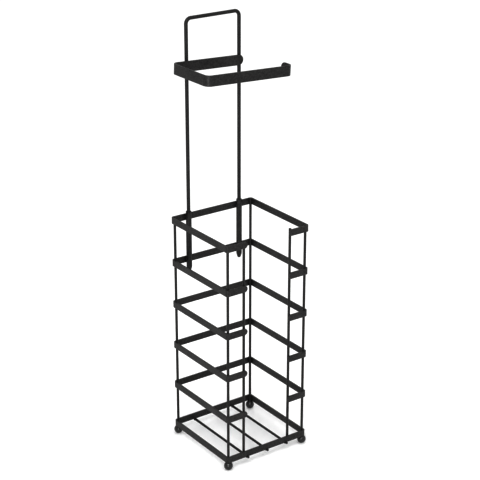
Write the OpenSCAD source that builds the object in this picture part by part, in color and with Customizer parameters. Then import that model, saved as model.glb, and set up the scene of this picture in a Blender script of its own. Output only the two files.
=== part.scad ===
// Free-standing toilet paper holder.
// A square tower of flat-bar rings on four ball feet stores spare rolls, and a
// top frame that carries the roll arm plugs into two sleeves on its back.
// Millimetres, +Z up. X is the width, with the free end of the roll arm at +X.
// The open front of the tower faces -Y. The origin is on the floor, in the
// middle of the footprint.

/* [Tower] */
// Outside width of the rings
tower_w = 152; // [130:1:190]
// Outside depth of the rings
tower_d = 150; // [130:1:190]
// Height between one ring and the next
ring_pitch = 70.3; // [55:0.1:90]
// Height of the flat bar that the rings are bent from
ring_h = 10.4; // [8:0.1:14]
// Thickness of the flat bar that the rings are bent from
ring_t = 2.5; // [1.5:0.1:3]
// Diameter of the upright wires
post_d = 4; // [3.2:0.1:4.6]
// Distance between the centres of a slot post and its corner post
stub_reach = 29; // [20:0.1:34]
// How far a ring's half-round end runs past the middle of its slot post
stub_overhang = 4; // [2:0.1:6]

/* [Base] */
// Diameter of the ball feet
foot_d = 13.8; // [12.6:0.1:14.2]
// How much the underside of a ball foot is flattened
foot_flat_cut = 0.3; // [0.2:0.1:0.5]
// Height of the lower edge of the base ring above the floor
base_clearance = 13; // [12.4:0.1:13]
// Diameter of the floor wires
floor_wire_d = 4; // [3:0.1:4.4]
// Distance between the centres of two floor wires
floor_wire_pitch = 37.5; // [34:0.1:38]
// How far the floor wires stick out past the front and the back
floor_wire_proud = 2; // [0.5:0.1:4]

/* [Sleeves] */
// Outside diameter of the two sleeves
sleeve_d = 8.8; // [8:0.1:10]
// Depth of the socket in each sleeve
socket_depth = 92; // [60:1:95]
// How far the sleeves stand above the top ring
sleeve_proud = 5; // [0:0.1:10]
// Height of the pointed end below the socket
sleeve_tip_h = 7.4; // [4:0.1:12]

/* [Top frame] */
// Overall height of the holder
total_h = 682.5; // [600:0.5:760]
// Diameter of the rod that the top frame is bent from
rod_d = 5.5; // [4.5:0.1:6]
// Distance between the centres of the two legs
rod_spacing = 95; // [70:0.5:105]
// Radius of the rod's two bends, to its centre line
rod_bend_r = 8.2; // [6:0.1:20]
// Gap between a leg and its socket, on the radius
socket_gap = 0.3; // [0.2:0.05:0.5]

/* [Roll arm] */
// Distance from the tower's middle to the arm's closed left side
arm_left = 75.8; // [65:0.1:85]
// Distance from the tower's middle to the arm's free right end
arm_right = 78; // [65:0.1:85]
// Height of the arm's middle above the floor
arm_z = 607; // [520:1:640]
// Height of the flat bar that the arm is bent from
arm_h = 16.1; // [12:0.1:20]
// Thickness of the flat bar that the arm is bent from
arm_t = 2.5; // [2:0.1:3]
// Distance from the tower's middle to the front face of the arm
arm_reach = 27; // [10:0.5:60]
// Outside radius of the arm's bends
arm_bend_r = 9.5; // [5:0.5:12]
// Length of the bent-back tab that stops the roll
arm_tab = 27; // [20:0.5:34]
// How far the arm's fixed end runs past the middle of the right leg
arm_end_run = 4.5; // [3:0.1:8]
// Slope of the arm down towards its free end, in degrees
arm_droop = 2.7; // [0:0.1:4]

/* [Hidden] */
$fn = 64;

BLACK = [0.09, 0.09, 0.1];
LEFT = -1;
RIGHT = 1;
FRONT = -1;
BACK = 1;
// Overlap that keeps a cut or a join clean
eps = 0.01;
// Chamfer on the cut end of a wire
wire_chamfer = 0.4;
// Chamfer on the legs' lower ends and in the sockets' mouths
leg_chamfer = 0.8;
// How far the posts stand above the top ring
post_proud = 0.6;
// How far the middle of a floor wire is below the base ring's lower edge
floor_wire_drop = 0.5;
// Clearance between a floor wire and its notch
notch_gap = 0.05;
// A ring's inside corner radius over that of the post in it, so that the post touches both bars
corner_fit = 0.9;
// Radius of the ball that rounds the point of a sleeve
sleeve_point_r = 3;

half_w = tower_w / 2;
half_d = tower_d / 2;
post_r = post_d / 2;
ring_corner_in = corner_fit * post_r;
rod_r = rod_d / 2;
sleeve_r = sleeve_d / 2;
open_rings = 5;
top_edge = base_clearance + ring_h + open_rings * ring_pitch;
post_x = half_w - ring_t - post_r;
post_y = half_d - ring_t - post_r;
slot_post_x = post_x - stub_reach;
rod_x = rod_spacing / 2;
// The sleeves lie against the inside of the rings' back bars
sleeve_y = half_d - ring_t - sleeve_r;
sleeve_top = top_edge + sleeve_proud;
socket_floor = sleeve_top - socket_depth;
socket_r = rod_r + socket_gap;
// Height where the legs end and the rod's bends start
bend_z = total_h - rod_r - rod_bend_r;
// The arm is welded to the front of the legs
arm_back_y = sleeve_y - rod_r - arm_t;

// Height of the lower edge of ring n, counted from the top
function ring_z(n) = base_clearance + (open_rings + 1 - n) * ring_pitch;

// Flat outline with round corners, centred on the origin
module round_corner_outline(w, d, r) {
    square([w, d - 2 * r], center = true);
    square([w - 2 * r, d], center = true);
    for (x = [LEFT, RIGHT], y = [FRONT, BACK])
        translate([x * (w / 2 - r), y * (d / 2 - r)])
            circle(r);
}

// Closed band of flat bar, standing on z = 0
module band() {
    linear_extrude(ring_h)
        difference() {
            round_corner_outline(tower_w, tower_d, ring_corner_in + ring_t);
            round_corner_outline(
                tower_w - 2 * ring_t, tower_d - 2 * ring_t, ring_corner_in);
        }
}

// Half-round end of a flat bar that lies across Y, middle at the origin
module round_end(h, t) {
    rotate([-90, 0, 0])
        cylinder(d = h, h = t);
}

// One ring with an open front and two half-round ends
module open_ring(n) {
    end_x = slot_post_x - stub_overhang + ring_h / 2;
    color(BLACK)
        translate([0, 0, ring_z(n)]) {
            difference() {
                band();
                translate([-end_x, -half_d - 1, -1])
                    cube([2 * end_x, ring_t + 2, ring_h + 2]);
            }
            for (side = [LEFT, RIGHT])
                translate([side * end_x, -half_d, ring_h / 2])
                    round_end(ring_h, ring_t);
        }
}

// Closed bottom ring, notched underneath for the floor wires
module base_ring() {
    color(BLACK)
        translate([0, 0, base_clearance])
            difference() {
                band();
                for (i = [-1:1])
                    translate([i * floor_wire_pitch, -half_d - 1, -floor_wire_drop])
                        rotate([-90, 0, 0])
                            cylinder(d = floor_wire_d + 2 * notch_gap, h = tower_d + 2);
            }
}

// Round wire along Z from z = 0, with chamfers at its ends
module wire(d, length) {
    translate([0, 0, wire_chamfer])
        cylinder(d = d, h = length - 2 * wire_chamfer);
    cylinder(d1 = d - 2 * wire_chamfer, d2 = d, h = wire_chamfer);
    translate([0, 0, length - wire_chamfer])
        cylinder(d1 = d, d2 = d - 2 * wire_chamfer, h = wire_chamfer);
}

// Upright wire inside a corner, from its foot to just above the top ring
module corner_post(side, face) {
    color(BLACK)
        translate([side * post_x, face * post_y, base_clearance])
            wire(post_d, top_edge + post_proud - base_clearance);
}

// Upright wire behind the half-round ends, beside the open front
module slot_post(side) {
    color(BLACK)
        translate([side * slot_post_x, -post_y, base_clearance])
            wire(post_d, top_edge + post_proud - base_clearance);
}

// Wire from front to back that the rolls stand on, in the base ring's notches
module floor_wire(i) {
    color(BLACK)
        translate([
            i * floor_wire_pitch,
            -half_d - floor_wire_proud,
            base_clearance - floor_wire_drop
        ])
            rotate([-90, 0, 0])
                wire(floor_wire_d, tower_d + 2 * floor_wire_proud);
}

// Ball foot, flat underneath and where it meets its post
module foot(side, face) {
    color(BLACK)
        translate([side * post_x, face * post_y, 0])
            intersection() {
                translate([0, 0, foot_d / 2 - foot_flat_cut])
                    sphere(d = foot_d);
                translate([-foot_d, -foot_d, 0])
                    cube([2 * foot_d, 2 * foot_d, base_clearance]);
            }
}

// Tube with an open socket on top and a closed, pointed lower end
module sleeve(side) {
    color(BLACK)
        translate([side * rod_x, sleeve_y, socket_floor])
            difference() {
                union() {
                    cylinder(d = sleeve_d, h = socket_depth);
                    translate([0, 0, sleeve_point_r - sleeve_tip_h]) {
                        sphere(sleeve_point_r);
                        cylinder(
                            r1 = sleeve_point_r,
                            r2 = sleeve_r,
                            h = sleeve_tip_h - sleeve_point_r);
                    }
                }
                cylinder(r = socket_r, h = socket_depth + 1);
                translate([0, 0, socket_depth - leg_chamfer])
                    cylinder(
                        r1 = socket_r,
                        r2 = socket_r + leg_chamfer + eps,
                        h = leg_chamfer + eps);
            }
}

// Leg of the top rod, from the floor of its socket to its bend
module leg(side) {
    translate([side * rod_x, sleeve_y, socket_floor]) {
        cylinder(d1 = rod_d - 2 * leg_chamfer, d2 = rod_d, h = leg_chamfer);
        translate([0, 0, leg_chamfer])
            cylinder(d = rod_d, h = bend_z - socket_floor - leg_chamfer);
    }
}

// Quarter-turn bend between a leg and the bar on top
module rod_bend(side) {
    translate([side * (rod_x - rod_bend_r), sleeve_y, bend_z])
        rotate([90, 0, 0])
            rotate([0, 0, side == RIGHT ? 0 : 90])
                rotate_extrude(angle = 90)
                    translate([rod_bend_r, 0])
                        circle(d = rod_d);
}

// One rod bent into a tall arch, whose top is the lifting handle
module top_rod() {
    color(BLACK) {
        for (side = [LEFT, RIGHT]) {
            leg(side);
            rod_bend(side);
        }
        translate([rod_bend_r - rod_x, sleeve_y, total_h - rod_r])
            rotate([0, 90, 0])
                cylinder(d = rod_d, h = rod_spacing - 2 * rod_bend_r);
    }
}

// Quarter ring of flat bar seen from above, in the quadrant of x and y
module arm_bend(x, y) {
    intersection() {
        difference() {
            circle(arm_bend_r);
            circle(arm_bend_r - arm_t);
        }
        scale([x, y])
            square(arm_bend_r + 1);
    }
}

// Flat bar bent round the roll: fixed part, side, front and bent-back tab
module arm_bar() {
    end_r = arm_h / 2;
    left_bend_x = arm_bend_r - arm_left;
    right_bend_x = arm_right - arm_bend_r;
    front_y = -arm_reach;
    front_bend_y = front_y + arm_bend_r;
    back_bend_y = arm_back_y + arm_t - arm_bend_r;
    fixed_end_x = rod_x + arm_end_run - end_r;
    tab_end_y = front_y + arm_tab - end_r;
    linear_extrude(arm_h) {
        translate([left_bend_x, arm_back_y])
            square([fixed_end_x - left_bend_x, arm_t]);
        translate([-arm_left, front_bend_y])
            square([arm_t, back_bend_y - front_bend_y]);
        translate([left_bend_x, front_y])
            square([right_bend_x - left_bend_x, arm_t]);
        translate([arm_right - arm_t, front_bend_y])
            square([arm_t, tab_end_y - front_bend_y]);
        translate([left_bend_x, back_bend_y])
            arm_bend(LEFT, BACK);
        translate([left_bend_x, front_bend_y])
            arm_bend(LEFT, FRONT);
        translate([right_bend_x, front_bend_y])
            arm_bend(RIGHT, FRONT);
    }
    translate([fixed_end_x, arm_back_y, end_r])
        round_end(arm_h, arm_t);
    translate([arm_right - arm_t, tab_end_y, end_r])
        rotate([0, 90, 0])
            cylinder(d = arm_h, h = arm_t);
}

// The arm on the legs, sloping down towards its free end
module roll_arm() {
    color(BLACK)
        translate([0, 0, arm_z])
            rotate([0, arm_droop, 0])
                translate([0, 0, -arm_h / 2])
                    arm_bar();
}

top_rod();
roll_arm();
sleeve(LEFT);  // sleeve_left
sleeve(RIGHT);  // sleeve_right
open_ring(1);  // ring_1
open_ring(2);  // ring_2
open_ring(3);  // ring_3
open_ring(4);  // ring_4
open_ring(5);  // ring_5
base_ring();
corner_post(LEFT, FRONT);  // post_front_left
corner_post(RIGHT, FRONT);  // post_front_right
corner_post(LEFT, BACK);  // post_back_left
corner_post(RIGHT, BACK);  // post_back_right
slot_post(LEFT);  // slot_post_left
slot_post(RIGHT);  // slot_post_right
floor_wire(-1);  // floor_wire_left
floor_wire(0);  // floor_wire_middle
floor_wire(1);  // floor_wire_right
foot(LEFT, FRONT);  // foot_front_left
foot(RIGHT, FRONT);  // foot_front_right
foot(LEFT, BACK);  // foot_back_left
foot(RIGHT, BACK);  // foot_back_right
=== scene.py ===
"""Looks of the free-standing toilet paper holder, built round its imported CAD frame.

Every piece is a closed mesh in metres, in the frame's own axes: X is the width, -Y the open
front of the tower, +Z up. Each one stands for one CAD node and has that node's size, with the
rounded edges, formed ends and weld fillets that the CAD solids leave out.
"""

import math

import bmesh
import bpy
from mathutils import Matrix, Vector

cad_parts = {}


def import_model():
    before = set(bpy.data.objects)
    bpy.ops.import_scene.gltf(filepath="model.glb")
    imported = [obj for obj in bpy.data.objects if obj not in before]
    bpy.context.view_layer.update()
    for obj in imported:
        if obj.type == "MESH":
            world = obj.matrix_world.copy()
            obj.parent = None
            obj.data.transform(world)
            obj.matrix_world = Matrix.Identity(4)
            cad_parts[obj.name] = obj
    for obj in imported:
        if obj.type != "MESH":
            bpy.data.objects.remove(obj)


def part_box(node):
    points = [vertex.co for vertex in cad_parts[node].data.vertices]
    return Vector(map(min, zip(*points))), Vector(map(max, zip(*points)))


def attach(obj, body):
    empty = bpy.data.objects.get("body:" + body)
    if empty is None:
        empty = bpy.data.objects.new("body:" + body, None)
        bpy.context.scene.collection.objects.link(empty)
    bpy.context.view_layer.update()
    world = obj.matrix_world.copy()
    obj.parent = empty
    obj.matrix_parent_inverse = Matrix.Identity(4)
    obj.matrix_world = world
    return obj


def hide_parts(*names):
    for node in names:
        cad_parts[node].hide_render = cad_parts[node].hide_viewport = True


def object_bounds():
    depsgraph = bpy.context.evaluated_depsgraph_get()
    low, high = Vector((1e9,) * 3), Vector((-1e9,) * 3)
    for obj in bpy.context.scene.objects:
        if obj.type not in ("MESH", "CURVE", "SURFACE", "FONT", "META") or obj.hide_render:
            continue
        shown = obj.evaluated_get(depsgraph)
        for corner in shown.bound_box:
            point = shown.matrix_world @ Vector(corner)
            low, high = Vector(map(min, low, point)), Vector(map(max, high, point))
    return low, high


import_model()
cad_low, cad_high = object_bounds()

MM = 0.001

# Names of the CAD nodes
RINGS = ["ring_1", "ring_2", "ring_3", "ring_4", "ring_5"]
CORNER_POSTS = ["post_front_left", "post_front_right", "post_back_left", "post_back_right"]
SLOT_POSTS = ["slot_post_left", "slot_post_right"]
FLOOR_WIRES = ["floor_wire_left", "floor_wire_middle", "floor_wire_right"]
FEET = ["foot_front_left", "foot_front_right", "foot_back_left", "foot_back_right"]
SLEEVES = ["sleeve_left", "sleeve_right"]

# Sizes that a node's box doesn't give, as in the CAD model
RING_BAR_T = 2.5 * MM
RING_CORNER_R = 4.3 * MM
NOTCH_GAP = 0.05 * MM
STUB_OVERHANG = 4.0 * MM
FOOT_FLAT_CUT = 0.3 * MM
ARM_H = 16.1 * MM
ARM_T = 2.5 * MM
ARM_BEND_R = 9.5 * MM
ARM_LEFT = 75.8 * MM
ARM_RIGHT = 78.0 * MM
ARM_REACH = 27.0 * MM
ARM_TAB = 27.0 * MM
ARM_END_RUN = 4.5 * MM
ARM_Z = 607.0 * MM
ARM_DROOP = math.radians(2.7)
ROD_BEND_R = 8.2 * MM
SOCKET_R = 3.05 * MM
SOCKET_DEPTH = 92.0 * MM
SLEEVE_POINT_R = 3.0 * MM

# Rounded edges and ends, which only the looks have
BAR_EDGE_R = 0.45 * MM
ARM_EDGE_R = 0.55 * MM
WIRE_END_R = 0.45 * MM
ROD_END_R = 0.8 * MM
SLEEVE_SHOULDER_R = 6.0 * MM
SLEEVE_LIP_R = 0.45 * MM
# Lighter sleeve lip and mouth: worn coat and a painted highlight
SLEEVE_LIP_WEAR_AND_HIGHLIGHT = 0.7
# Rolled mouth of a sleeve: (beyond the bore's radius, below the sleeve's top)
SLEEVE_MOUTH = [(0.8 * MM, 0.0), (0.25 * MM, 0.4 * MM), (0.0, 0.9 * MM)]

# Welds. A length is a share of the bar's height, and a core is the share of the wire's radius
# at which the weld ends inside the wire.
SMALL_FILLET = 0.3 * MM
LARGE_FILLET = 0.5 * MM
POST_WELD_LENGTH = 0.86
SLEEVE_WELD_LENGTH = 0.9
ARM_WELD_LENGTH = 0.88
CREASE_SINK = 0.15 * MM
CREASE_TAPER = 0.3
CREASE_TIP = 0.03
COLLAR_SINK = 0.2 * MM
WELD_CORE = 0.8
COLLAR_HEIGHT = 0.9 * MM
FLOOR_COLLAR_SPREAD = 0.7 * MM
FOOT_COLLAR_SPREAD = 0.6 * MM

# Fineness of the meshes
ROUND_STEPS = 5
BEND_STEPS = 14
ROD_BEND_STEPS = 28
HALF_ROUND_STEPS = 16
NOTCH_STEPS = 12
STUB_STEPS = 8
ARM_BACK_STEPS = 10
ARM_SIDE_STEPS = 4
ARM_FRONT_STEPS = 10
ARM_TAB_STEPS = 6
CREASE_STEPS = 12
WIRE_SIDES = 32
SLEEVE_SIDES = 48
BALL_SIDES = 56
BALL_ROWS = 36
# Points of a route this many end radii or less from its ends are left to the half-round ends
HALF_ROUND_MARGIN = 1.02
# Distances within which a point counts as a pole, as another point, or as on a ring's side
POLE_R = 1e-7
SAME_POINT = 1e-6
SAME_SIDE = 1.0 * MM

# Coats: base colour, colour of dust specks and of the lighter edges (worn coat and painted
# highlight), roughness, specular level, size and depth of the orange peel
COATS = {
    "bar_coat": ((0.028, 0.0274, 0.0268), (0.12, 0.12, 0.118), 0.42, 0.46, 2.0 * MM, 0.18 * MM),
    "rod_coat": ((0.021, 0.0207, 0.0204), (0.11, 0.11, 0.108), 0.38, 0.4, 1.5 * MM, 0.12 * MM),
    "foot_coat": ((0.014, 0.014, 0.014), (0.1, 0.1, 0.1), 0.22, 0.8, 1.6 * MM, 0.06 * MM),
}
COAT_IOR = 1.5
GRAIN_FINENESS = 5.0
GRAIN_SHARE = 0.18
CLOUD_SIZE = 45.0 * MM
# The peel's share in the tone ramp, and the ramp's range and factors: painted shade in the peel's
# hollows and a painted highlight on its crests, over real cloudy tone
PEEL_SHADE_IN_TONE = 0.6
TONE_AND_SHADE_RANGE = (0.36, 0.64)
TONE_AND_SHADE_FACTORS = (0.5, 1.6)
DUST_SPACING = 2.4 * MM
DUST_SHARE = 0.14
DUST_DOT = (0.03, 0.09)
DUST_AMOUNT = 0.35
# Patchy lighter line along the edges: worn coat and a painted highlight
WEAR_AND_HIGHLIGHT_SIZE = 6.25 * MM
WEAR_AND_HIGHLIGHT_RANGE = (0.45, 0.75)
WEAR_AND_HIGHLIGHT_AMOUNT = 0.5
STREAK_W = 3.8 * MM
STREAK_L = 25.0 * MM
STREAK_RANGE = (0.3, 0.7)
STREAK_GLOSS = 0.07
EDGE_POLISH = 0.12

# Studio, in metres, degrees and watts. An azimuth is counted like the camera's: 0 looks along
# +Y, and a negative one stands further left.
FLOOR_REACH = 12.0
FLOOR_TONE = 0.9
FLOOR_ROUGHNESS = 0.9
FLOOR_SPECULAR = 0.1
WORLD_STRENGTH = 1.0
# Name, azimuth, elevation, angle that the light fills, strength
DAYLIGHT = ("overhead", 10, 62, 70, 0.62)
# Name, azimuth, elevation, distance, width, height, power
SOFTBOXES = [
    ("front_left", -42, 8, 1.7, 0.2, 1.1, 10.0),
    ("top_front", -50, 50, 2.0, 0.3, 0.3, 10.0),
]
OBJECT_MIDDLE = Vector((0, 0, (cad_low.z + cad_high.z) / 2))

# Place, turn to the right, look down and focal length, fitted to the object's outline
CAMERA_PLACE = (-1.1606, -1.6295, 1.1495)
CAMERA_TURN = 35.48
CAMERA_PITCH = 21.944
CAMERA_LENS = 106.01
SENSOR_WIDTH = 36.0

# Gamma of the view. Thin dark wires on white lose contrast when a pixel averages linear light.
# A value below 1 darkens the middle tones, leaves white alone and gives that contrast back.
PICTURE_CONTRAST = 0.62


# ---------------------------------------------------------------- materials

def add_node(tree, kind, **values):
    """New shader node. Each value sets the input of that name, or else the property."""
    made = tree.nodes.new(kind)
    for key, value in values.items():
        if key in made.inputs:
            made.inputs[key].default_value = value
        else:
            setattr(made, key, value)
    return made


def remap(tree, value, source, target):
    """Stretches a value from one range to another, and holds it at the ends."""
    made = add_node(tree, "ShaderNodeMapRange")
    for socket, number in zip(("From Min", "From Max", "To Min", "To Max"), (*source, *target)):
        made.inputs[socket].default_value = number
    tree.links.new(value, made.inputs["Value"])
    return made.outputs["Result"]


def scaled_sum(tree, value, factor, added):
    """value * factor + added, where added is a number or an output."""
    made = add_node(tree, "ShaderNodeMath", operation="MULTIPLY_ADD")
    tree.links.new(value, made.inputs[0])
    made.inputs[1].default_value = factor
    if isinstance(added, float):
        made.inputs[2].default_value = added
    else:
        tree.links.new(added, made.inputs[2])
    return made.outputs["Value"]


def product(tree, first, second):
    made = add_node(tree, "ShaderNodeMath", operation="MULTIPLY")
    tree.links.new(first, made.inputs[0])
    tree.links.new(second, made.inputs[1])
    return made.outputs["Value"]


def tinted(tree, base, amount, tint):
    """Mixes a constant colour into another one by a varying amount."""
    made = add_node(tree, "ShaderNodeMix", data_type="RGBA")
    made.inputs["B"].default_value = (*tint, 1)
    tree.links.new(base, made.inputs["A"])
    tree.links.new(amount, made.inputs["Factor"])
    return made.outputs["Result"]


def noise(tree, place, scale, detail, roughness):
    made = add_node(tree, "ShaderNodeTexNoise", Scale=scale, Detail=detail, Roughness=roughness)
    tree.links.new(place, made.inputs["Vector"])
    return made.outputs["Fac"]


def powder_coat(name, colour, dust_wear_and_highlight_colour, roughness, specular, peel_size, peel_depth):
    """Baked-on black powder: orange peel, mottled tone with painted shade in the peel's hollows and
    a painted highlight on its crests, gloss, dust specks, and edges where the coat is thin, painted
    lighter as worn coat and as a highlight.
    """
    material = bpy.data.materials.new(name)
    material.use_nodes = True
    tree = material.node_tree
    tree.nodes.clear()
    link = tree.links.new
    out = add_node(tree, "ShaderNodeOutputMaterial")
    shader = add_node(tree, "ShaderNodeBsdfPrincipled")
    shader.inputs["Specular IOR Level"].default_value = specular
    shader.inputs["IOR"].default_value = COAT_IOR
    link(shader.outputs["BSDF"], out.inputs["Surface"])
    place = add_node(tree, "ShaderNodeTexCoord").outputs["Object"]
    edge = add_node(tree, "ShaderNodeAttribute", attribute_name="edge_wear_and_highlight").outputs["Fac"]

    # Orange peel, with a finer grain on top of it
    peel = noise(tree, place, 1.0 / peel_size, detail=2.0, roughness=0.45)
    grain = noise(tree, place, GRAIN_FINENESS / peel_size, detail=2.0, roughness=0.5)
    bump = add_node(tree, "ShaderNodeBump", Strength=1.0, Distance=peel_depth)
    link(scaled_sum(tree, grain, GRAIN_SHARE, peel), bump.inputs["Height"])
    link(bump.outputs["Normal"], shader.inputs["Normal"])

    # Tone: wide clouds of real tone, with painted shade in the peel's hollows and a painted
    # highlight on its crests
    cloud = noise(tree, place, 1.0 / CLOUD_SIZE, detail=4.0, roughness=0.6)
    wide = scaled_sum(tree, cloud, 1 - PEEL_SHADE_IN_TONE, 0.0)
    tone_and_peel_shade = add_node(tree, "ShaderNodeValToRGB")
    for stop, at, factor in zip(tone_and_peel_shade.color_ramp.elements, TONE_AND_SHADE_RANGE, TONE_AND_SHADE_FACTORS):
        stop.position = at
        stop.color = (*[c * factor for c in colour], 1)
    link(scaled_sum(tree, peel, PEEL_SHADE_IN_TONE, wide), tone_and_peel_shade.inputs["Fac"])

    # Dust under the coat: small dots in a few of the cells
    dust = add_node(tree, "ShaderNodeTexVoronoi", Scale=1.0 / DUST_SPACING)
    link(place, dust.inputs["Vector"])
    cell = add_node(tree, "ShaderNodeSeparateColor")
    link(dust.outputs["Color"], cell.inputs["Color"])
    rare = add_node(tree, "ShaderNodeMath", operation="GREATER_THAN")
    link(cell.outputs["Red"], rare.inputs[0])
    rare.inputs[1].default_value = 1 - DUST_SHARE
    dot = remap(tree, dust.outputs["Distance"], DUST_DOT, (DUST_AMOUNT, 0.0))
    speck = product(tree, dot, rare.outputs["Value"])
    dusty = tinted(tree, tone_and_peel_shade.outputs["Color"], speck, dust_wear_and_highlight_colour)

    # Lighter edges, broken up by a noise: worn coat and a painted highlight
    scuffs_and_highlight = noise(tree, place, 1.0 / WEAR_AND_HIGHLIGHT_SIZE, detail=5.0, roughness=0.7)
    patchy = remap(tree, scuffs_and_highlight, WEAR_AND_HIGHLIGHT_RANGE, (0.0, WEAR_AND_HIGHLIGHT_AMOUNT))
    link(tinted(tree, dusty, product(tree, edge, patchy), dust_wear_and_highlight_colour), shader.inputs["Base Color"])

    # Gloss: upright streaks, and smoother where hands polish the edges
    stretch = add_node(tree, "ShaderNodeMapping")
    stretch.inputs["Scale"].default_value = (1.0 / STREAK_W, 1.0 / STREAK_W, 1.0 / STREAK_L)
    link(place, stretch.inputs["Vector"])
    streak = noise(tree, stretch.outputs["Vector"], 1.0, detail=3.0, roughness=0.55)
    gloss = remap(tree, streak, STREAK_RANGE, (roughness - STREAK_GLOSS, roughness + STREAK_GLOSS))
    link(scaled_sum(tree, edge, -EDGE_POLISH, gloss), shader.inputs["Roughness"])
    return material


coat_material = {name: powder_coat(name, *values) for name, values in COATS.items()}


# ---------------------------------------------------------------- mesh builder

def link_to_scene(thing):
    bpy.context.scene.collection.objects.link(thing)


class Shape:
    """Collects closed shells and turns them into one smooth mesh object."""

    def __init__(self):
        self.points = []
        self.faces = []
        self.edge = []

    def add(self, points, faces, edge=None):
        """One shell. edge says how close each point is to an edge, from 0 to 1, where the coat is
        painted lighter as wear and as a highlight.
        """
        start = len(self.points)
        self.points += [Vector(p) for p in points]
        self.faces += [[start + i for i in f] for f in faces]
        self.edge += list(edge) if edge else [0.0] * len(points)

    def place(self, matrix):
        self.points = [matrix @ p for p in self.points]

    def build(self, name, node, body, slot):
        """Makes the object, lets it ride on its body and stand for its CAD node.

        The upper and lower edges of a half-round end meet in one point, so points in the same
        place are merged.
        """
        mesh = bpy.data.meshes.new(name)
        mesh.from_pydata([tuple(p) for p in self.points], [], self.faces)
        mesh.validate()
        mesh.shade_smooth()
        # Nearness to an edge, where the coat is painted lighter as wear and as a highlight
        wear_and_highlight = mesh.attributes.new("edge_wear_and_highlight", "FLOAT", "POINT")
        wear_and_highlight.data.foreach_set("value", self.edge)
        mesh.materials.append(coat_material[slot])
        merged = bmesh.new()
        merged.from_mesh(mesh)
        bmesh.ops.remove_doubles(merged, verts=merged.verts, dist=SAME_POINT)
        merged.to_mesh(mesh)
        merged.free()
        piece = bpy.data.objects.new(name, mesh)
        link_to_scene(piece)
        normals = piece.modifiers.new("face_normals", "WEIGHTED_NORMAL")
        normals.keep_sharp = True
        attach(piece, body)
        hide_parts(node)


def strip_faces(rows, columns, closed_rows=False):
    """Quads between the rows of a grid of points whose columns run round a closed outline."""
    faces = []
    for i in range(rows if closed_rows else rows - 1):
        for j in range(columns):
            a, b = i * columns, (i + 1) % rows * columns
            k = (j + 1) % columns
            faces.append([a + j, a + k, b + k, b + j])
    return faces


def end_faces(total, columns):
    """The two faces that close the first and the last row of such a grid."""
    return [list(range(columns))[::-1], list(range(total - columns, total))]


def quarter_turn(steps=ROUND_STEPS):
    """Angles from 0 to 90 degrees."""
    return [i / steps * math.pi / 2 for i in range(steps + 1)]


def facing(origin, axis):
    """Matrix that moves the origin to a place and turns +Z to an axis."""
    turned = Vector(axis).to_track_quat("Z", "Y").to_matrix().to_4x4()
    return Matrix.Translation(Vector(origin)) @ turned


# ---------------------------------------------------------------- flat bar

def bar_edge_profile(thickness, radius):
    """(inset from the outline, offset across the bar, edge wear and painted highlight) from one
    face to the other.
    """
    half = thickness / 2
    first = [(radius * (1 - math.sin(a)), half - radius * (1 - math.cos(a)),
              math.sin(2 * a) ** 2) for a in quarter_turn()]
    return first + [(d, -n, w) for d, n, w in reversed(first)]


class Route:
    """A line in the XY plane made of straight runs and arcs, measured along its length."""

    def __init__(self, start, heading):
        self.samples = [(0.0, Vector(start), heading)]

    def run(self, length, steps=1):
        for _ in range(steps):
            s, p, h = self.samples[-1]
            step = length / steps
            ahead = Vector((math.cos(h), math.sin(h)))
            self.samples.append((s + step, p + ahead * step, h))
        return self

    def turn_left(self, radius):
        """A bend of 90 degrees."""
        step = math.pi / 2 / BEND_STEPS
        for _ in range(BEND_STEPS):
            s, p, h = self.samples[-1]
            centre = p + Vector((-math.sin(h), math.cos(h))) * radius
            spoke = p - centre
            spoke.rotate(Matrix.Rotation(step, 2))
            self.samples.append((s + radius * step, centre + spoke, h + step))
        return self

    @property
    def length(self):
        return self.samples[-1][0]

    def at(self, s):
        """Point and heading at distance s, extended straight past both ends."""
        samples = self.samples
        i = 1
        while i < len(samples) - 1 and samples[i][0] < s:
            i += 1
        s0, p0, h0 = samples[i - 1]
        s1, p1, h1 = samples[i]
        t = (s - s0) / (s1 - s0)
        if t < 0 or t > 1:
            s_end, p, h = (s0, p0, h0) if t < 0 else (s1, p1, h1)
            return p + Vector((math.cos(h), math.sin(h))) * (s - s_end), h
        return p0.lerp(p1, t), h0 + (h1 - h0) * t


def bent_bar(shape, route, z_low, height, thickness, edge_r):
    """Flat bar on edge along a route, with half-round ends."""
    r = height / 2
    mid_z = z_low + r
    first, last = r, route.length - r
    margin = r * HALF_ROUND_MARGIN
    inner = [s for s, _, _ in route.samples if margin < s < route.length - margin]
    arc = quarter_turn(HALF_ROUND_STEPS)[1:]
    stations = [(first, -1, a) for a in reversed(arc)]
    stations += [(s, 0, 0.0) for s in [first] + inner + [last]]
    stations += [(last, 1, a) for a in arc]

    profile = bar_edge_profile(thickness, edge_r)
    columns = 2 * len(stations)
    points, wear_and_highlight = [], []
    for inset, across, worn_and_highlighted in profile:
        upper, lower = [], []
        for s, side, a in stations:
            reach = (r - inset) * math.sin(a) * side
            rise = (r - inset) * math.cos(a)
            p, h = route.at(s + reach)
            x, y = p + Vector((math.sin(h), -math.cos(h))) * across
            upper.append((x, y, mid_z + rise))
            lower.append((x, y, mid_z - rise))
        points += upper + lower[::-1]
        wear_and_highlight += [worn_and_highlighted] * columns
    faces = strip_faces(len(profile), columns)
    start = (len(profile) - 1) * columns
    for j in range(len(stations) - 1):
        k = columns - 1 - j
        faces.append([j, k, k - 1, j + 1])
        faces.append([start + j, start + j + 1, start + k - 1, start + k])
    shape.add(points, faces, wear_and_highlight)


# ---------------------------------------------------------------- round stock

def circle(matrix, radius, height, sides):
    turns = [2 * math.pi * j / sides for j in range(sides)]
    return [matrix @ Vector((radius * math.cos(a), radius * math.sin(a), height)) for a in turns]


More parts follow.
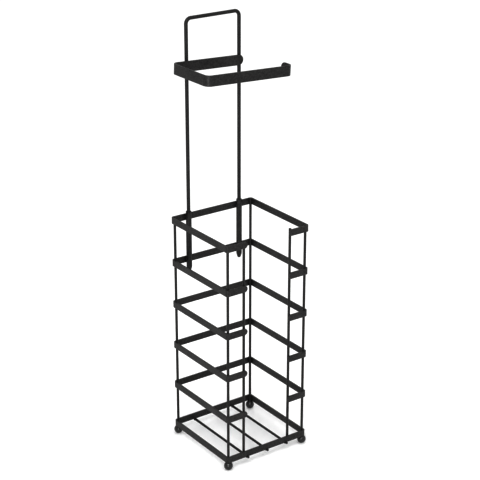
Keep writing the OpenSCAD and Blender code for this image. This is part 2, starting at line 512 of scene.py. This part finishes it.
def lathe(shape, profile, sides, matrix, wear_and_highlight=None):
    """Closed turned shape: profile is (radius, height) from one pole to the other."""
    points, faces, worn_and_highlighted = [], [], []
    rings = []
    for i, (radius, height) in enumerate(profile):
        count = 1 if radius < POLE_R else sides
        rings.append((len(points), count))
        points += circle(matrix, radius, height, sides)[:count]
        worn_and_highlighted += [wear_and_highlight[i] if wear_and_highlight else 0.0] * count
    for (a, na), (b, nb) in zip(rings, rings[1:]):
        for j in range(sides):
            k = (j + 1) % sides
            if na == 1:
                faces.append([a, b + k, b + j])
            elif nb == 1:
                faces.append([a + j, a + k, b])
            else:
                faces.append([a + j, a + k, b + k, b + j])
    shape.add(points, faces, worn_and_highlighted)


def wire_end(radius, at, direction):
    """Rounded end of a cut wire, from its pole out to its side."""
    rim = radius - WIRE_END_R
    return [(0.0, at)] + [(rim + WIRE_END_R * math.sin(a),
                           at + direction * WIRE_END_R * (1 - math.cos(a)))
                          for a in quarter_turn()]


def straight_wire(shape, start, end, radius):
    """Round wire from start to end, with rounded ends."""
    axis = Vector(end) - Vector(start)
    low = wire_end(radius, 0.0, 1)
    high = wire_end(radius, axis.length, -1)
    lathe(shape, low + high[::-1], WIRE_SIDES, facing(start, axis))


def bent_rod(shape, line, radius):
    """Round rod along a list of points in an XZ plane, with rounded ends."""
    rings = []
    for i, p in enumerate(line):
        before, after = line[max(i - 1, 0)], line[min(i + 1, len(line) - 1)]
        rings.append((p, (after - before).normalized(), radius))
    cap = [(ROD_END_R * (1 - math.cos(a)), radius - ROD_END_R + ROD_END_R * math.sin(a))
           for a in quarter_turn()[:-1]]
    cap.append((ROD_END_R, radius))
    (start, ahead, _), (stop, onward, _) = rings[0], rings[-1]
    head = [(start + ahead * along, ahead, r) for along, r in cap]
    tail = [(stop - onward * along, onward, r) for along, r in reversed(cap)]
    rings = head + rings[1:-1] + tail
    side = Vector((0, 1, 0))
    points = []
    for p, ahead, r in rings:
        up = ahead.cross(side)
        for j in range(WIRE_SIDES):
            a = 2 * math.pi * j / WIRE_SIDES
            points.append(p + side * (r * math.cos(a)) + up * (r * math.sin(a)))
    shape.add(points, strip_faces(len(rings), WIRE_SIDES) + end_faces(len(points), WIRE_SIDES))


# ---------------------------------------------------------------- welds

def crease_weld(shape, contact, outward, radius, length, fillet_r):
    """Coat and weld metal in the two creases beside an upright wire on a flat bar.

    contact is the middle of the line where they touch, and outward points from the bar to the
    wire.
    """
    contact, outward, axis = Vector(contact), Vector(outward), Vector((0, 0, 1))
    across = outward.cross(axis)
    reach = 2 * math.sqrt(radius * fillet_r)
    start = -math.pi / 2
    meet = math.atan2(radius - fillet_r, -reach)
    arc = [start - i / ROUND_STEPS * (start - meet + 2 * math.pi) for i in range(ROUND_STEPS + 1)]
    side = [(reach + fillet_r * math.cos(a), fillet_r + fillet_r * math.sin(a)) for a in arc]
    right = [(reach, -CREASE_SINK)] + side
    outline = right + [(0.0, radius * WELD_CORE)] + [(-u, v) for u, v in right[::-1]]
    points = []
    for i in range(CREASE_STEPS + 1):
        t = -1 + 2 * i / CREASE_STEPS
        scale = max(CREASE_TIP, (1 - t * t) ** CREASE_TAPER)
        for u, v in outline:
            points.append(contact + across * (u * scale) + outward * (v * scale)
                          + axis * (t * length / 2))
    count = len(outline)
    shape.add(points, strip_faces(CREASE_STEPS + 1, count) + end_faces(len(points), count))


def collar_weld(shape, origin, axis, radius, spread):
    """Concave ring of weld round a wire where it leaves a surface."""
    inner = radius * WELD_CORE
    outer = [(radius + spread * (1 - math.sin(a)), COLLAR_HEIGHT * (1 - math.cos(a)))
             for a in quarter_turn()]
    profile = [(inner, -COLLAR_SINK), (radius + spread, -COLLAR_SINK)] + outer
    profile.append((inner, COLLAR_HEIGHT))
    matrix = facing(origin, axis)
    points = []
    for r, h in profile:
        points += circle(matrix, r, h, WIRE_SIDES)
    shape.add(points, strip_faces(len(profile), WIRE_SIDES, closed_rows=True))


# ---------------------------------------------------------------- the tower

def centre_of(node_name):
    low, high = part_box(node_name)
    return (low + high) / 2


def size_of(node_name):
    low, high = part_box(node_name)
    return high - low


ring_size = size_of("ring_1")
half_w, half_d, ring_h = ring_size.x / 2, ring_size.y / 2, ring_size.z
post_r = size_of("post_front_left").x / 2
slot_x = abs(centre_of("slot_post_left").x)


def open_ring(name):
    """Ring with an open front: it starts and ends at the half-round ends of its stubs."""
    tip_x = slot_x - STUB_OVERHANG
    mid_r = RING_CORNER_R - RING_BAR_T / 2
    stub = half_w - RING_CORNER_R - tip_x
    side_run, back_run = 2 * (half_d - RING_CORNER_R), 2 * (half_w - RING_CORNER_R)
    route = Route((tip_x, -half_d + RING_BAR_T / 2), 0.0).run(stub, STUB_STEPS)
    for length in (side_run, back_run, side_run):
        route.turn_left(mid_r).run(length)
    route.turn_left(mid_r).run(stub, STUB_STEPS)
    shape = Shape()
    bent_bar(shape, route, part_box(name)[0].z, ring_h, RING_BAR_T, BAR_EDGE_R)
    shape.build(name + "_bar", name, "tower", "bar_coat")


def base_ring(name):
    """Closed ring, notched underneath where the floor wires are let in."""
    low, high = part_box(name)
    wire_z = centre_of("floor_wire_middle").z
    notch_r = size_of("floor_wire_middle").x / 2 + NOTCH_GAP
    notch_x = [centre_of(n).x for n in FLOOR_WIRES]
    half_notch = math.sqrt(notch_r ** 2 - (low.z - wire_z) ** 2)
    middle = RING_BAR_T / 2
    mid_r = RING_CORNER_R - middle
    straight_x, straight_y = half_w - RING_CORNER_R, half_d - RING_CORNER_R
    line = []

    def across(y, heading, direction):
        """Points of the front or back side, with extra ones along each notch."""
        marks = [-straight_x]
        for x in sorted(notch_x):
            for i in range(NOTCH_STEPS + 1):
                marks.append(x + half_notch * math.cos(math.pi * (1 - i / NOTCH_STEPS)))
        marks.append(straight_x)
        for x in marks[::direction]:
            line.append((Vector((x, y)), heading))

    def corner(cx, cy, heading):
        for i in range(1, BEND_STEPS):
            h = heading + i / BEND_STEPS * math.pi / 2
            line.append((Vector((cx + mid_r * math.sin(h), cy - mid_r * math.cos(h))), h))

    def along(x, heading, direction):
        """The two ends of the left or right side."""
        for y in (-straight_y * direction, straight_y * direction):
            line.append((Vector((x, y)), heading))

    across(-half_d + middle, 0.0, 1)
    corner(straight_x, -straight_y, 0.0)
    along(half_w - middle, math.pi / 2, 1)
    corner(straight_x, straight_y, math.pi / 2)
    across(half_d - middle, math.pi, -1)
    corner(-straight_x, straight_y, math.pi)
    along(-half_w + middle, 1.5 * math.pi, -1)
    corner(-straight_x, -straight_y, 1.5 * math.pi)

    def lower_edge(p):
        """Height of the bar's underside, which arches over the floor wires."""
        away = min(abs(p.x - x) for x in notch_x)
        front_or_back = abs(abs(p.y) - (half_d - middle)) <= SAME_SIDE
        if front_or_back and away < half_notch:
            return wire_z + math.sqrt(notch_r ** 2 - away ** 2)
        return low.z

    rim = bar_edge_profile(RING_BAR_T, BAR_EDGE_R)
    section = [(d, n, 1, w) for d, n, w in rim] + [(d, n, 0, w) for d, n, w in reversed(rim)]
    points, wear_and_highlight = [], []
    for p, h in line:
        outward = Vector((math.sin(h), -math.cos(h)))
        for inset, offset, top, worn_and_highlighted in section:
            z = high.z - inset if top else lower_edge(p) + inset
            points.append((*(p + outward * offset), z))
            wear_and_highlight.append(worn_and_highlighted)
    faces = strip_faces(len(line), len(section), closed_rows=True)
    shape = Shape()
    shape.add(points, [f[::-1] for f in faces], wear_and_highlight)
    shape.build(name + "_bar", name, "tower", "bar_coat")


def post(name, touches):
    """Upright wire with a weld in the crease against each bar that it touches."""
    low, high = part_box(name)
    x, y = centre_of(name).x, centre_of(name).y
    shape = Shape()
    straight_wire(shape, (x, y, low.z), (x, y, high.z), post_r)
    for ring in RINGS + ["base_ring"]:
        for outward in touches:
            contact = Vector((x, y, centre_of(ring).z)) - Vector(outward) * post_r
            length = ring_h * POST_WELD_LENGTH
            crease_weld(shape, contact, outward, post_r, length, SMALL_FILLET)
    shape.build(name + "_wire", name, "tower", "rod_coat")


def corner_post(name):
    """Post that stands in a corner of the rings and touches both of its sides."""
    middle = centre_of(name)
    post(name, [(-1 if middle.x > 0 else 1, 0, 0), (0, -1 if middle.y > 0 else 1, 0)])


def slot_post(name):
    """Post that stands behind the half-round ends of the stubs."""
    post(name, [(0, 1, 0)])


def floor_wire(name):
    """Wire from front to back, with a ring of weld inside the front and the back bar."""
    low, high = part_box(name)
    x, _, z = centre_of(name)
    radius = size_of(name).x / 2
    shape = Shape()
    straight_wire(shape, (x, low.y, z), (x, high.y, z), radius)
    inner = half_d - RING_BAR_T
    for y, direction in ((-inner, 1), (inner, -1)):
        collar_weld(shape, (x, y, z), (0, direction, 0), radius, FLOOR_COLLAR_SPREAD)
    shape.build(name + "_rod", name, "tower", "rod_coat")


def foot(name):
    """Steel ball, flat underneath, with a ring of weld round its post."""
    low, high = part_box(name)
    x, y, _ = centre_of(name)
    radius = size_of(name).x / 2
    centre_z = low.z + radius - FOOT_FLAT_CUT
    start = math.asin(-(radius - FOOT_FLAT_CUT) / radius)
    stop = math.asin((high.z - centre_z) / radius)
    profile = [(0.0, low.z)]
    for i in range(BALL_ROWS + 1):
        a = start + (stop - start) * i / BALL_ROWS
        profile.append((radius * math.cos(a), centre_z + radius * math.sin(a)))
    profile.append((0.0, high.z))
    shape = Shape()
    lathe(shape, profile, BALL_SIDES, Matrix.Translation((x, y, 0)))
    collar_weld(shape, (x, y, high.z), (0, 0, 1), post_r, FOOT_COLLAR_SPREAD)
    shape.build(name + "_ball", name, "tower", "foot_coat")


def sleeve(name):
    """Tube with a rolled mouth and a closed, bullet-shaped end, welded to two back bars."""
    low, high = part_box(name)
    x, y, _ = centre_of(name)
    radius = size_of(name).x / 2
    floor_z = high.z - SOCKET_DEPTH
    ball_z = low.z + SLEEVE_POINT_R
    nose_h = floor_z - ball_z
    slope = math.acos(SLEEVE_POINT_R / math.hypot(radius, nose_h)) - math.atan2(nose_h, radius)
    tip, shoulder = [], []
    for i in range(ROUND_STEPS + 1):
        a = i / ROUND_STEPS * (math.pi / 2 - slope)
        tip.append((SLEEVE_POINT_R * math.sin(a), ball_z - SLEEVE_POINT_R * math.cos(a)))
        a = slope * (1 - i / ROUND_STEPS)
        shoulder.append((radius - SLEEVE_SHOULDER_R * (1 - math.cos(a)),
                         floor_z + SLEEVE_SHOULDER_R * (math.tan(slope / 2) - math.sin(a))))
    lip = [(radius + SLEEVE_LIP_R * (math.cos(a) - 1), high.z + SLEEVE_LIP_R * (math.sin(a) - 1))
           for a in quarter_turn()]
    mouth = [(SOCKET_R + beyond, high.z - below) for beyond, below in SLEEVE_MOUTH]
    bore = [(SOCKET_R, floor_z), (0.0, floor_z)]
    plain, worn_and_highlighted = len(tip) + len(shoulder), len(lip) + len(mouth) - 1
    # The lip and mouth are painted lighter: worn coat and a painted highlight
    wear_and_highlight = [0.0] * plain + [SLEEVE_LIP_WEAR_AND_HIGHLIGHT] * worn_and_highlighted + [0.0] * (1 + len(bore))
    shape = Shape()
    profile = tip + shoulder + lip + mouth + bore
    lathe(shape, profile, SLEEVE_SIDES, Matrix.Translation((x, y, 0)), wear_and_highlight)
    for ring in RINGS[:2]:
        contact = (x, y + radius, centre_of(ring).z)
        length = ring_h * SLEEVE_WELD_LENGTH
        crease_weld(shape, contact, (0, -1, 0), radius, length, LARGE_FILLET)
    shape.build(name + "_tube", name, "tower", "rod_coat")


# ---------------------------------------------------------------- the top frame

def top_rod():
    """One rod bent into an arch: two legs, two bends and the carrying loop on top."""
    low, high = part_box("top_rod")
    radius = (high.y - low.y) / 2
    y = (high.y + low.y) / 2
    leg_x = high.x - radius
    bend_x, bend_z = ROD_BEND_R - leg_x, high.z - radius - ROD_BEND_R
    line = [Vector((-leg_x, y, low.z)), Vector((-leg_x, y, bend_z))]
    for turned in quarter_turn(ROD_BEND_STEPS)[1:]:
        a = math.pi - turned
        line.append(Vector((bend_x + ROD_BEND_R * math.cos(a), y,
                            bend_z + ROD_BEND_R * math.sin(a))))
    line += [Vector((-p.x, p.y, p.z)) for p in reversed(line)]
    shape = Shape()
    bent_rod(shape, line, radius)
    for side in (-1, 1):
        contact = (side * leg_x, y - radius, ARM_Z - side * leg_x * math.tan(ARM_DROOP))
        length = ARM_H * ARM_WELD_LENGTH
        crease_weld(shape, contact, (0, 1, 0), radius, length, LARGE_FILLET)
    shape.build("top_rod_arch", "top_rod", "top_frame", "rod_coat")


def roll_arm():
    """Flat bar welded to both legs and bent three times, with half-round ends."""
    rod_low, rod_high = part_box("top_rod")
    back_face = rod_low.y
    mid_r = ARM_BEND_R - ARM_T / 2
    tip_x = rod_high.x - (rod_high.y - rod_low.y) / 2 + ARM_END_RUN
    route = Route((tip_x, back_face - ARM_T / 2), math.pi)
    route.run(tip_x + ARM_LEFT - ARM_BEND_R, ARM_BACK_STEPS).turn_left(mid_r)
    route.run(back_face + ARM_REACH - 2 * ARM_BEND_R, ARM_SIDE_STEPS).turn_left(mid_r)
    route.run(ARM_LEFT + ARM_RIGHT - 2 * ARM_BEND_R, ARM_FRONT_STEPS).turn_left(mid_r)
    route.run(ARM_TAB - ARM_BEND_R, ARM_TAB_STEPS)
    shape = Shape()
    bent_bar(shape, route, -ARM_H / 2, ARM_H, ARM_T, ARM_EDGE_R)
    shape.place(Matrix.Translation((0, 0, ARM_Z)) @ Matrix.Rotation(ARM_DROOP, 4, "Y"))
    shape.build("roll_arm_bar", "roll_arm", "top_frame", "bar_coat")


# ---------------------------------------------------------------- studio

def floor():
    """Plain pale floor that runs on past the view on every side."""
    r = FLOOR_REACH
    mesh = bpy.data.meshes.new("studio_floor")
    mesh.from_pydata([(-r, -r, 0), (r, -r, 0), (r, r, 0), (-r, r, 0)], [], [(0, 1, 2, 3)])
    material = bpy.data.materials.new("studio_white")
    material.use_nodes = True
    shader = material.node_tree.nodes["Principled BSDF"]
    shader.inputs["Base Color"].default_value = (FLOOR_TONE, FLOOR_TONE, FLOOR_TONE, 1)
    shader.inputs["Roughness"].default_value = FLOOR_ROUGHNESS
    shader.inputs["Specular IOR Level"].default_value = FLOOR_SPECULAR
    mesh.materials.append(material)
    piece = bpy.data.objects.new("studio_floor", mesh)
    piece.location.z = cad_low.z
    link_to_scene(piece)


def hang(light, azimuth, elevation, distance=0.0):
    """Turns a light to the object's middle from that azimuth and elevation."""
    a, e = math.radians(azimuth), math.radians(elevation)
    out = Vector((math.sin(a) * math.cos(e), -math.cos(a) * math.cos(e), math.sin(e)))
    lamp = bpy.data.objects.new(light.name, light)
    lamp.location = OBJECT_MIDDLE + out * distance
    lamp.rotation_euler = (-out).to_track_quat("-Z", "Y").to_euler()
    link_to_scene(lamp)


def daylight(name, azimuth, elevation, spread, strength):
    """Very soft light from far away, so that the whole floor is equally bright."""
    light = bpy.data.lights.new(name, "SUN")
    light.angle = math.radians(spread)
    light.energy = strength
    hang(light, azimuth, elevation)


def softbox(name, azimuth, elevation, distance, width, height, power):
    """Area light that faces the object."""
    light = bpy.data.lights.new(name, "AREA")
    light.shape = "RECTANGLE"
    light.size = width
    light.size_y = height
    light.energy = power
    hang(light, azimuth, elevation, distance)


def world():
    """Even white surroundings."""
    made = bpy.data.worlds.new("studio_world")
    made.use_nodes = True
    background = made.node_tree.nodes["Background"]
    background.inputs["Color"].default_value = (1.0, 1.0, 1.0, 1)
    background.inputs["Strength"].default_value = WORLD_STRENGTH
    bpy.context.scene.world = made


def camera():
    """Camera at the photograph's angle, and the plain view transform with its contrast."""
    data = bpy.data.cameras.new("camera")
    data.lens = CAMERA_LENS
    data.sensor_width = SENSOR_WIDTH
    eye = bpy.data.objects.new("camera", data)
    eye.location = CAMERA_PLACE
    eye.rotation_euler = (math.radians(90 - CAMERA_PITCH), 0, math.radians(-CAMERA_TURN))
    link_to_scene(eye)
    bpy.context.scene.camera = eye
    view = bpy.context.scene.view_settings
    view.view_transform = "Standard"
    view.gamma = PICTURE_CONTRAST


# ---------------------------------------------------------------- everything in place

for make, names in ((open_ring, RINGS), (base_ring, ["base_ring"]), (corner_post, CORNER_POSTS),
                    (slot_post, SLOT_POSTS), (floor_wire, FLOOR_WIRES), (foot, FEET),
                    (sleeve, SLEEVES)):
    for cad_name in names:
        make(cad_name)
top_rod()
roll_arm()

floor()
daylight(*DAYLIGHT)
for values in SOFTBOXES:
    softbox(*values)
world()
camera()
